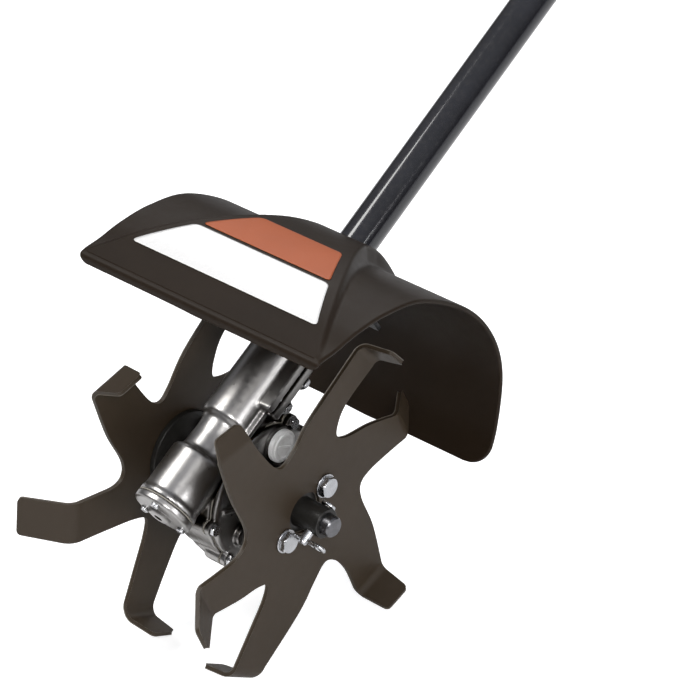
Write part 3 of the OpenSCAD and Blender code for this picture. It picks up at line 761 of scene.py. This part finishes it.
# webs from the drum to the neck
prism(gc_, [(-CD + 12, 20), (-CD + 12, 70), (-18, 44), (-6, 34)], -2.2, 2.2, Matrix(((0, 0, 1, 0), (1, 0, 0, 0), (0, 1, 0, 0), (0, 0, 0, 1))), 0.4)
cut = Mesh()
lathe(cut, [(0, -9.4), (43.6, -9.4), (43.6, 25), (0, 25)], X(0, 0, 0, AX), 96, 0.0)
lathe(cut, [(0, -40), (12.6, -40), (12.6, -28.8), (11.1, -28.8), (11.1, 0), (0, 0)], X(0, 0, 0, AX), 64, 0.0)
lathe(cut, [(0, -60), (12.1, -60), (12.1, -23), (11.6, -23), (11.6, 20), (12.1, 20), (12.1, 29), (12.9, 29), (12.9, 90), (0, 90)], neck, 64, 0.0)
for zz in (46, 66):
    lathe(cut, [(0, -6), (3.05, -6), (3.05, 7.99), (6.4, 7.99), (6.4, 14), (0, 14)], X(20.5, -CD, zz, (0, 1, 0)), 32, 0.0)
case = cast("gear_casting", gc_, cut, "frame", ("gear_case",), vox=0.85, it=7)

# ---------------------------------------------------------------- side cover
cv = Mesh()
lathe(cv, [(0, 17.7), (46.6, 17.7, 0.3), (46.6, 21.2, 0.8), (44, 22.2, 0.6), (0, 22.2)], X(0, 0, 0, AX), 128, 0.4)
for a in SCR_A:
    y, z = pol(a, SCR_R)
    lathe(cv, [(0, 17.7), (5, 17.7), (5, 22, 0.4), (0, 22)], X(0, y, z, AX), 40, 0.4)
lathe(cv, [(0, 18), (20, 18), (19, 24, 2), (17, 29, 2), (16.6, 35.4, 0.6), (14, 36, 0.3), (0, 36)], X(0, 0, 0, AX), 96, 0.6)
for a in (-130, -55, -10, 35, 80):
    T = Matrix.Rotation(math.radians(a), 4, "X") @ Matrix(((1, 0, 0, 0), (0, 0, -1, 0), (0, 1, 0, 0), (0, 0, 0, 1)))
    T = Matrix.Rotation(math.radians(a), 4, "X")
    prism(cv, [(20, 12), (32.4, 12), (32.4, 17), (27, 26), (24, 41), (20, 41)], -1.6, 1.6, T, 0.3)
y, z = pol(-84, 31)
lathe(cv, [(0, 20), (7.4, 20), (6.8, 26.5, 0.6), (0, 26.5)], X(0, y, z, AX), 48, 0.5)
y, z = pol(128, 34)
lathe(cv, [(0, 20), (12.8, 20), (12.4, 23.6, 0.6), (0, 23.6)], X(0, y, z, AX), 64, 0.5)
ccut = Mesh()
lathe(ccut, [(0, 10), (11.05, 10), (11.05, 30.02), (12.55, 30.02), (12.55, 40), (0, 40)], X(0, 0, 0, AX), 64, 0.0)
lathe(ccut, [(0, -70), (21.3, -70), (21.3, 70), (0, 70)], neck, 96, 0.0)
lathe(ccut, [(0, 10), (43.4, 10), (43.4, 18.0), (0, 18.0)], X(0, 0, 0, AX), 96, 0.0)
cover = cast("side_cover", cv, ccut, "frame", ("gear_cover",), vox=0.7, it=4)

# ---------------------------------------------------------------- lower cap
cp = Mesh()
lathe(cp, [(0, -56), (19.5, -56, 1.2), (20.5, -54.8, 0.6), (20.5, -50.8, 0.3), (0, -50.8)], neck, 128, 0.6)
lathe(cp, [(0, -59), (7, -59, 0.8), (8, -58, 0.6), (8.6, -55), (0, -55)], neck, 64, 0.6)
lathe(cp, [(8.8, -52), (11.9, -52), (11.9, -30.6, 0.4), (8.8, -30.6, 0.3)], neck, 64, 0.3)
pcut = Mesh()
lathe(pcut, [(0, -62), (3, -62), (3, -57.6), (0, -57.6)], neck, 32, 0.0)
cap = cast("lower_cap", cp, pcut, "frame", ("worm_cap",), vox=0.6, it=3)

# ---------------------------------------------------------------- screws, plugs and clamp hardware
sc = Mesh()
for a in SCR_A:
    y, z = pol(a, SCR_R)
    T = X(0, y, z, AX)
    hexhead(sc, T @ Matrix.Translation((0, 0, 22.0)) @ Matrix.Rotation(a * 0.37, 4, "Z"), 7, 2.8)
    lathe(sc, [(0, 8), (1.9, 8), (1.9, 22.1), (0, 22.1)], T, 24, 0.1)
sc.make("cover_screw_set", "steel_bright", "frame", ("cover_screws",), bevel=0.12)
cs = Mesh()
for a in CAP_A:
    x, y = 16.2 * math.cos(math.radians(a)), 16.2 * math.sin(math.radians(a))
    T = X(x, -CD + y, -56.02, (0, 0, -1))
    lathe(cs, [(0, 0), (2.8, 0, 0.1), (2.8, 1.5, 0.5), (2.2, 2.0, 0.2), (1.35, 2.0, 0.1), (1.3, 0.7), (0, 0.7)], T, 36, 0.1)
    lathe(cs, [(0, -18), (1.5, -18), (1.5, 0.1), (0, 0.1)], T, 20, 0.1)
cs.make("cap_screw_set", "steel_bright", "frame", ("cap_screws",))
fp = Mesh()
y, z = pol(128, 34)
lathe(fp, [(0, 20.6), (6, 20.6), (6, 23.8), (11.2, 23.8, 0.3), (11.2, 27.0, 0.7), (9.4, 27.4, 0.2), (9.2, 28.4, 0.4), (7.6, 28.6, 0.3), (6.4, 27.7, 0.4), (0, 27.7)],
      X(0, y, z, AX), 96, 0.2, wob=lambda r, a, h: r - (0.35 if (r > 10.6 and 24.2 < h < 26.8 and math.sin(36 * a) > 0.2) else 0.0))
box(fp, (-1.0, -5.6, 27.2), (1.0, 5.6, 28.4), 0.2, X(0, y, z, AX, 0.6))
fp.make("filler_cap", "plug_grey", "frame", ("filler_plug",))
dp = Mesh()
y, z = pol(-84, 31)
lathe(dp, [(0, 20.7), (2.5, 20.7), (2.5, 25.9, 0.2), (1.5, 25.9, 0.1), (1.4, 24.4), (0, 24.4)], X(0, y, z, AX), 36, 0.1)
dp.make("drain_screw", "steel_dark", "frame", ("drain_plug",))
cb = Mesh()
for zz in (46, 66):
    hexhead(cb, X(20.5, -CD + 9.0, zz, (0, 1, 0)) @ Matrix.Rotation(zz, 4, "Z"), 10, 4.0)
    lathe(cb, [(0, 8.05), (5.9, 8.05, 0.2), (5.9, 9.0, 0.3), (0, 9.0)], X(20.5, -CD, zz, (0, 1, 0)), 40, 0.1)
    threaded(cb, X(20.5, -CD + 9.1, zz, (0, -1, 0)), 3.0, 0.0, 14.6)
cb.make("clamp_bolt_set", "steel_bright", "frame", ("clamp_bolts",), bevel=0.15)
ls = Mesh()
hexhead(ls, X(0, -CD + 18.2, 56, (0, 1, 0)), 8, 3.6)
lathe(ls, [(0, 0), (2.5, 0), (2.5, 5.2), (0, 5.2)], X(0, -CD + 18.2, 56, (0, -1, 0)), 24, 0.1)
ls.make("locating_screw_hex", "steel_bright", "frame", ("locating_screw",), bevel=0.12)

# ---------------------------------------------------------------- axle and tine hubs
for side, s in (("right", 1), ("left", -1)):
    AXS = (s, 0, 0)
    h = Mesh()
    T = X(0, 0, 0, AXS)
    lathe(h, [(7.05, 38), (12.5, 38, 0.5), (12.5, 42.4, 1.5), (10.4, 44, 1.2), (11.5, 47.0, 1.5), (29.5, 48.5, 0.8), (29.5, 52.4, 0.5), (10, 52.4, 0.4), (10, 74, 0.7), (7.05, 74, 0.4)],
          T, 96, 0.4)
    hub = h.make("tine_hub_turned_" + side, "hub_black", "rotor", ("tine_hub_" + side,))
ax = Mesh()
lathe(ax, [(0, -81), (6, -81, 0.4), (7, -79.6, 0.4), (7, -37.6, 0.2), (8, -37.4, 0.3), (8, 37.4, 0.3), (7, 37.6, 0.2), (7, 79.6, 0.4), (6, 81, 0.4), (0, 81)],
      X(0, 0, 0, AX), 96, 0.2)
axle = ax.make("axle_bar", "steel_dark", "rotor", ("tine_axle",))

# ---------------------------------------------------------------- tine plates
EDGES_R = [[(-33, 97), (-33, 68), (-28, 55), (-20, 48.5), (-10, 54), (3, 72), (20, 90)],
           [(43, 87), (37, 72), (31, 54), (31.5, 43), (42, 37), (70, 32.5), (103, 22)],
           [(98, -3), (77, 0), (60, -2), (50, -9), (53, -24), (59, -44), (63, -86)],
           [(38, -99), (29, -76), (21, -57), (13, -49), (5, -56), (-3, -70), (-16, -88)],
           [(-43, -84), (-36, -70), (-30, -56), (-31, -44), (-42, -37), (-70, -33), (-101, -25)],
           [(-90, 0), (-77, 0), (-56, 1.5), (-46.5, 7), (-47, 22), (-52, 40), (-55, 93)]]
EDGES_L = [[(-40, 95), (-38, 72), (-30, 57), (-20, 48.5), (-10, 54), (3, 72), (20, 90)],
           EDGES_R[1],
           [(98, -3), (77, 0), (60, -3), (51, -12), (52, -36), (61, -58), (72, -80)],
           [(50, -95), (36, -74), (23, -55), (13, -47), (2, -54), (-14, -72), (-30, -91)],
           [(-52, -74), (-42, -62), (-33, -50), (-33, -41), (-43, -35), (-70, -32), (-103, -24)],
           [(-94, 4), (-77, 3), (-57, 4), (-47, 9), (-48, 20), (-57, 45), (-62, 88)]]
# fold end a, fold end b, bend, straight length, end width, bend radius
TIPS_R = [((-33, 97), (-55, 93), 82, 17, 17, 7), ((43, 87), (20, 90), -35, 18, 16, 9), ((98, -3), (103, 22), 76, 18, 20, 7),
          ((38, -99), (63, -86), -84, 18, 20, 9.5), ((-43, -84), (-16, -88), 38, 25.5, 20, 9), ((-90, 0), (-101, -25), -20, 12, 20, 9)]
TIPS_L = [((-40, 95), (-62, 88), 82, 17, 17, 7), TIPS_R[1], TIPS_R[2],
          ((50, -95), (72, -80), -84, 18, 20, 9.5), ((-30, -91), (-52, -74), 61, 29.5, 26, 11), ((-94, 4), (-103, -24), -76, 17, 20, 7)]


def plate(name, side, node):
    tips = TIPS_R if side > 0 else TIPS_L
    # flat pattern in order round the outline: edge, tip, edge, tip ...
    edges = [cr(e, 6) for e in (EDGES_R if side > 0 else EDGES_L)]
    order = [1, 2, 3, 4, 5, 0]                # tip after each edge
    outline, frames = [], []
    for t in tips:
        e0, e1 = np.array(t[0], float), np.array(t[1], float)
        mid = (e0 + e1) / 2
        d = (e1 - e0) / np.linalg.norm(e1 - e0)
        nrm = np.array([-d[1], d[0]])
        if np.dot(nrm, mid) < 0:
            nrm = -nrm
        frames.append((mid, d, nrm, math.radians(abs(t[2])), 1 if t[2] > 0 else -1, t[3], t[4], np.linalg.norm(e1 - e0), float(t[5])))
    for k in range(6):
        outline += [tuple(p) for p in edges[k]]
        mid, d, nrm, b, sg, L, w1, w, BR = frames[order[k]]
        flat = BR * b + L                     # developed length of bend and tip
        last = np.array(outline[-1])
        sgn = 1 if np.dot(last - mid, d) > 0 else -1
        rc = 3.0
        a = mid + nrm * flat + d * sgn * w1 / 2
        c = mid + nrm * flat - d * sgn * w1 / 2
        p0, p1 = last, a
        u0 = (p1 - p0) / np.linalg.norm(p1 - p0)
        for q in range(1, 5):
            t = q / 5
            outline.append(tuple(p0 + (p1 - rc * u0 - p0) * t))
        for q in range(5):
            t = q / 4
            s0, e_ = a - u0 * rc, a - d * sgn * rc
            outline.append(tuple((1 - t) ** 2 * s0 + 2 * t * (1 - t) * a + t * t * e_))
        nxt = mid - d * sgn * w / 2
        u1 = (nxt - c) / np.linalg.norm(nxt - c)
        for q in range(5):
            t = q / 4
            s0, e_ = c + d * sgn * rc, c + u1 * rc
            outline.append(tuple((1 - t) ** 2 * s0 + 2 * t * (1 - t) * c + t * t * e_))
        for q in range(1, 5):
            t = q / 5
            outline.append(tuple((c + u1 * rc) + (nxt - c - u1 * rc) * t))
    # clean close points
    pts = [outline[0]]
    for p in outline[1:]:
        if math.dist(p, pts[-1]) > 0.25:
            pts.append(p)
    if math.dist(pts[0], pts[-1]) < 0.25:
        pts.pop()
    holes = []
    n = 72
    holes.append([(14.5 * math.cos(2 * math.pi * i / n), 14.5 * math.sin(2 * math.pi * i / n)) for i in range(n)])
    for s in (-1, 1):
        holes.append([(4.25 * math.cos(2 * math.pi * i / 24), s * 22 + 4.25 * math.sin(2 * math.pi * i / 24)) for i in range(24)])
    bm = bmesh.new()
    alledges = []
    for loop in [pts] + holes:
        vs = [bm.verts.new((p[0], p[1], 0.0)) for p in loop]
        alledges += [bm.edges.new((vs[i], vs[(i + 1) % len(vs)])) for i in range(len(vs))]
    bmesh.ops.triangle_fill(bm, use_beauty=True, use_dissolve=False, edges=alledges)
    for mid, d, nrm, b, sg, L, w1, w, BR in frames:
        steps = 12 if b > 0.6 else 6
        for q in range(steps + 1):
            c = mid + nrm * (BR * b * q / steps)
            geom = [f for f in bm.faces if np.dot(np.array(f.calc_center_median()[:2]) - mid, nrm) > -30 and abs(np.dot(np.array(f.calc_center_median()[:2]) - mid, d)) < 30]
            ge = list({e for f in geom for e in f.edges})
            gvv = list({v for f in geom for v in f.verts})
            bmesh.ops.bisect_plane(bm, geom=geom + ge + gvv, plane_co=(c[0], c[1], 0), plane_no=(nrm[0], nrm[1], 0), dist=1e-5)
    P = np.array([v.co[:] for v in bm.verts])
    out = P.copy()
    NN = np.tile(np.array([0.0, 0.0, 1.0]), (len(P), 1))
    for mid, d, nrm, b, sg, L, w1, w, BR in frames:
        rel = P[:, :2] - mid
        s = rel @ nrm
        u = rel @ d
        sel = (s > 1e-6) & (np.abs(u) < 30)
        ss, uu = s[sel], u[sel]
        ang = np.minimum(ss / BR, b)
        ext = np.maximum(ss - BR * b, 0)
        fwd = BR * np.sin(ang) + ext * np.cos(b)
        lift = BR * (1 - np.cos(ang)) + ext * np.sin(b)
        xy = mid + np.outer(fwd, nrm) + np.outer(uu, d)
        out[sel] = np.column_stack([xy, sg * lift])
        NN[sel] = np.column_stack([-np.outer(np.sin(ang), nrm) * sg, np.cos(ang)])
    faces = [[v.index for v in f.verts] for f in bm.faces]
    bound = [(e.verts[0].index, e.verts[1].index) for e in bm.edges if len(e.link_faces) == 1]
    # direction of each boundary edge as used by its face, for the rim
    be = []
    for e in bm.edges:
        if len(e.link_faces) == 1:
            fidx = [v.index for v in e.link_faces[0].verts]
            a, c = e.verts[0].index, e.verts[1].index
            i = fidx.index(a)
            if fidx[(i + 1) % len(fidx)] == c:
                be.append((a, c))
            else:
                be.append((c, a))
    bm.free()
    # inward direction at each rim vertex, to ease the edge
    K = len(P)
    inw = np.zeros((K, 3))
    for a, c in be:
        t = out[c] - out[a]
        for q in (a, c):
            v_ = np.cross(NN[q], t)
            inw[q] += v_ / (np.linalg.norm(v_) + 1e-9)
    l = np.linalg.norm(inw, axis=1)
    rimv = l > 1e-6
    inw[rimv] /= l[rimv][:, None]
    th, ch = 1.5, 0.45
    layers = [out + NN * th + 0.0, out - NN * th]
    layers[0][rimv] += inw[rimv] * ch
    layers[1][rimv] += inw[rimv] * ch
    V = [layers[0], layers[1], out + NN * (th - ch), out - NN * (th - ch)]
    F = [f for f in faces] + [[K + i for i in f[::-1]] for f in faces]
    for a, c in be:
        F.append([a, 2 * K + a, 2 * K + c, c][::-1])
        F.append([2 * K + a, 3 * K + a, 3 * K + c, 2 * K + c][::-1])
        F.append([3 * K + a, K + a, K + c, 3 * K + c][::-1])
    nflat = 2 * len(faces)
    V = np.vstack(V)
    W3 = np.column_stack([side * (PL + V[:, 2]), V[:, 0], V[:, 1]])
    used = sorted({i for f in F for i in f})
    remap = {o_: i for i, o_ in enumerate(used)}
    W3 = W3[used]
    F = [[remap[i] for i in f] for f in F]
    o = obj(name, W3, F, "tine_paint", "rotor", (node,), angle=40)
    # the chamfer faces get the lighter tine_edge colour: painted edge highlight along the plate edges, with worn paint
    o.data.materials.append(M["tine_edge"])
    if len(o.data.polygons) == len(F):
        for i, q in enumerate(o.data.polygons):
            q.material_index = 0 if (i < nflat or (i - nflat) % 3 == 1) else 1
    return o


plate("tine_plate_right", 1, "tine_disc_right")
plate("tine_plate_left", -1, "tine_disc_left")

# hub bolts, nuts, washers
hb, hn = Mesh(), Mesh()
for s in (1, -1):
    for q in (1, -1):
        x0 = s * (PL + 1.5)
        T = X(x0, 0, q * 22, (s, 0, 0))
        lathe(hb, [(4.3, 0.02), (8.2, 0.02, 0.3), (8.2, 1.3, 0.4), (4.3, 1.3)], T, 48, 0.15)
        hexhead(hb, T @ Matrix.Translation((0, 0, 1.3)) @ Matrix.Rotation(q * 0.6 + s, 4, "Z"), 13, 4.0)
        threaded(hb, X(x0, 0, q * 22, (-s, 0, 0)), 4.0, -1.4, 17.0, 1.25)
        nut(hn, X(s * (PL - 5.5 - 0.02), 0, q * 22, (-s, 0, 0)) @ Matrix.Rotation(q * 0.3, 4, "Z"), 13, 6.4, 4.05)
hb.make("hub_bolt_set", "steel_bright", "rotor", ("hub_bolts",), bevel=0.15)
hn.make("hub_nut_set", "steel_bright", "rotor", ("hub_nuts",))

# clevis pins and hairpin clips
cpn, clp = Mesh(), Mesh()
for s in (1, -1):
    lathe(cpn, [(0, -19), (2.2, -19, 0.3), (3, -18, 0.3), (3, 10.2, 0.1), (5, 10.3, 0.3), (5, 12.2, 0.6), (0, 12.4)], X(s * 67, 0, 0), 48, 0.2)
    path = []
    for i in range(11):
        path.append((-5.8 + 1.68 * i, 0))
    for i in range(1, 28):                    # round eye
        a = -90 + 12 * i
        path.append((11 + 3.4 * math.cos(math.radians(a)), 3.4 + 3.4 * math.sin(math.radians(a))))
    x0, y0 = path[-1]
    tail = cr([(x0, y0), (6.5, 5.2), (3.8, 4.0), (1.0, 4.7), (-1.6, 4.3), (-3.0, 4.0), (-5.0, 5.6)], 6)
    path += [tuple(p) for p in tail[1:]]
    pp = [(s * 67 + s * px, py * 1.0, -15.5 + 0.0008 * i * (i > 12)) for i, (px, py) in enumerate(path)]
    wire(clp, pp, 1.15, 12)
cpn.make("clevis_pin_set", "steel_bright", "rotor", ("clevis_pins",))
clp.make("hairpin_set", "steel_bright", "rotor", ("retaining_clips",), angle=60)


# ---------------------------------------------------------------- stage: floor, light, camera
lo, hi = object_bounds()


def stage_mesh(name, v, f, material):
    me = bpy.data.meshes.new(name)
    me.from_pydata(v, [], f)
    o = bpy.data.objects.new(name, me)
    bpy.context.scene.collection.objects.link(o)
    o.data.materials.append(material)
    for p in me.polygons:
        p.use_smooth = True
    o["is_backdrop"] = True
    return o


fm = bpy.data.materials.new("floor_pale")
fm.use_nodes = True
fb = fm.node_tree.nodes["Principled BSDF"]
fb.inputs["Base Color"].default_value = (0.9, 0.9, 0.9, 1)
fb.inputs["Roughness"].default_value = 0.75
fn_, fl_ = fm.node_tree.nodes, fm.node_tree.links
flp = fn_.new("ShaderNodeLightPath")
fem = fn_.new("ShaderNodeEmission")
fem.inputs["Color"].default_value = (1, 1, 1, 1)
fmu = fn_.new("ShaderNodeMath")
fmu.operation = "MULTIPLY"
fmu.inputs[1].default_value = 0.62
fl_.new(flp.outputs["Is Camera Ray"], fmu.inputs[0])
fl_.new(fmu.outputs[0], fem.inputs["Strength"])
fad = fn_.new("ShaderNodeAddShader")
fl_.new(fb.outputs[0], fad.inputs[0])
fl_.new(fem.outputs[0], fad.inputs[1])
fl_.new(fad.outputs[0], fn_["Material Output"].inputs["Surface"])
# below the whole tine circle, so that no pose of the rotor reaches it
z0 = min(lo[2] - 0.002, (TILT @ (Vector((0, CD, -UP0)) * MM))[2] - 0.1205)
fl = [(-9, -9, z0), (9, -9, z0), (9, 9, z0), (-9, 9, z0)]
stage_mesh("floor", fl, [[0, 1, 2, 3]], fm)


def shaft_point(p):
    return TILT @ ((Vector(p) + Vector((0, CD, -UP0))) * MM)


right = Vector((0.7468, 0.3539, 0.5631))
down = Vector((0.3486, 0.5127, -0.7846))
fwd = Vector((-0.5663, 0.7823, 0.2595))
Rt = TILT.to_3x3()
rx, dy, fz = (Rt @ right).normalized(), (Rt @ down), (Rt @ fwd).normalized()
dy = (dy - rx * dy.dot(rx) - fz * dy.dot(fz)).normalized()
camd = bpy.data.cameras.new("camera")
camd.lens = 3914.6 / 700 * 36
camd.sensor_width = 36
camd.clip_start, camd.clip_end = 0.1, 60
cam = bpy.data.objects.new("camera", camd)
bpy.context.scene.collection.objects.link(cam)
mw = Matrix((rx, -dy, -fz)).transposed().to_4x4()
mw.translation = shaft_point((1441.4, -1977.2, -544.9))
cam.matrix_world = mw
bpy.context.scene.camera = cam
bpy.context.scene.view_settings.view_transform = "Standard"
bpy.context.scene.view_settings.look = "None"


def area(name, loc, target, size, energy, color=(1, 1, 1), sy=None):
    d = bpy.data.lights.new(name, "AREA")
    d.shape = "RECTANGLE"
    d.size = size
    d.size_y = sy or size
    d.energy = energy
    d.color = color
    o = bpy.data.objects.new(name, d)
    bpy.context.scene.collection.objects.link(o)
    o.location = loc
    o.rotation_euler = (Vector(target) - Vector(loc)).to_track_quat("-Z", "Y").to_euler()
    o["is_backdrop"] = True
    return o


C0 = shaft_point((0, -20, 60))


def rel(a, b, c):
    """A point given along the camera's right, up and back axes from the object."""
    return C0 + rx * a - dy * b - fz * c


area("key", rel(-1.3, 1.5, 1.0), C0, 1.0, 26, (1, 0.99, 0.97))
area("fill", rel(1.5, -0.3, 1.9), C0, 0.8, 15, (0.98, 0.98, 1))
area("front", rel(0.2, 0.2, 2.5), C0, 0.4, 24, (1, 0.99, 0.98))
area("top", rel(0.2, 2.0, -0.6), C0, 1.2, 9, (1, 1, 1), 0.7)
area("rim", rel(1.3, 0.9, -1.2), C0, 0.7, 3, (0.96, 0.98, 1))

w = bpy.data.worlds.new("studio")
bpy.context.scene.world = w
w.use_nodes = True
wn, wl = w.node_tree.nodes, w.node_tree.links
bg = wn["Background"]
lp = wn.new("ShaderNodeLightPath")
bg2 = wn.new("ShaderNodeBackground")
mixs = wn.new("ShaderNodeMixShader")
outw = wn["World Output"]
tcw = wn.new("ShaderNodeTexCoord")
sepw = wn.new("ShaderNodeSeparateXYZ")
rw = wn.new("ShaderNodeValToRGB")
wl.new(tcw.outputs["Generated"], sepw.inputs[0])
wl.new(sepw.outputs["Z"], rw.inputs["Fac"])
rw.color_ramp.elements[0].position = 0.0
rw.color_ramp.elements[0].color = (0.07, 0.065, 0.06, 1)
rw.color_ramp.elements[1].position = 0.9
rw.color_ramp.elements[1].color = (0.45, 0.46, 0.5, 1)
wl.new(rw.outputs["Color"], bg.inputs["Color"])
bg.inputs["Strength"].default_value = 0.8
bg2.inputs["Color"].default_value = (1, 1, 1, 1)
bg2.inputs["Strength"].default_value = 1.0
wl.new(lp.outputs["Is Camera Ray"], mixs.inputs[0])
wl.new(bg.outputs[0], mixs.inputs[1])
wl.new(bg2.outputs[0], mixs.inputs[2])
wl.new(mixs.outputs[0], outw.inputs["Surface"])
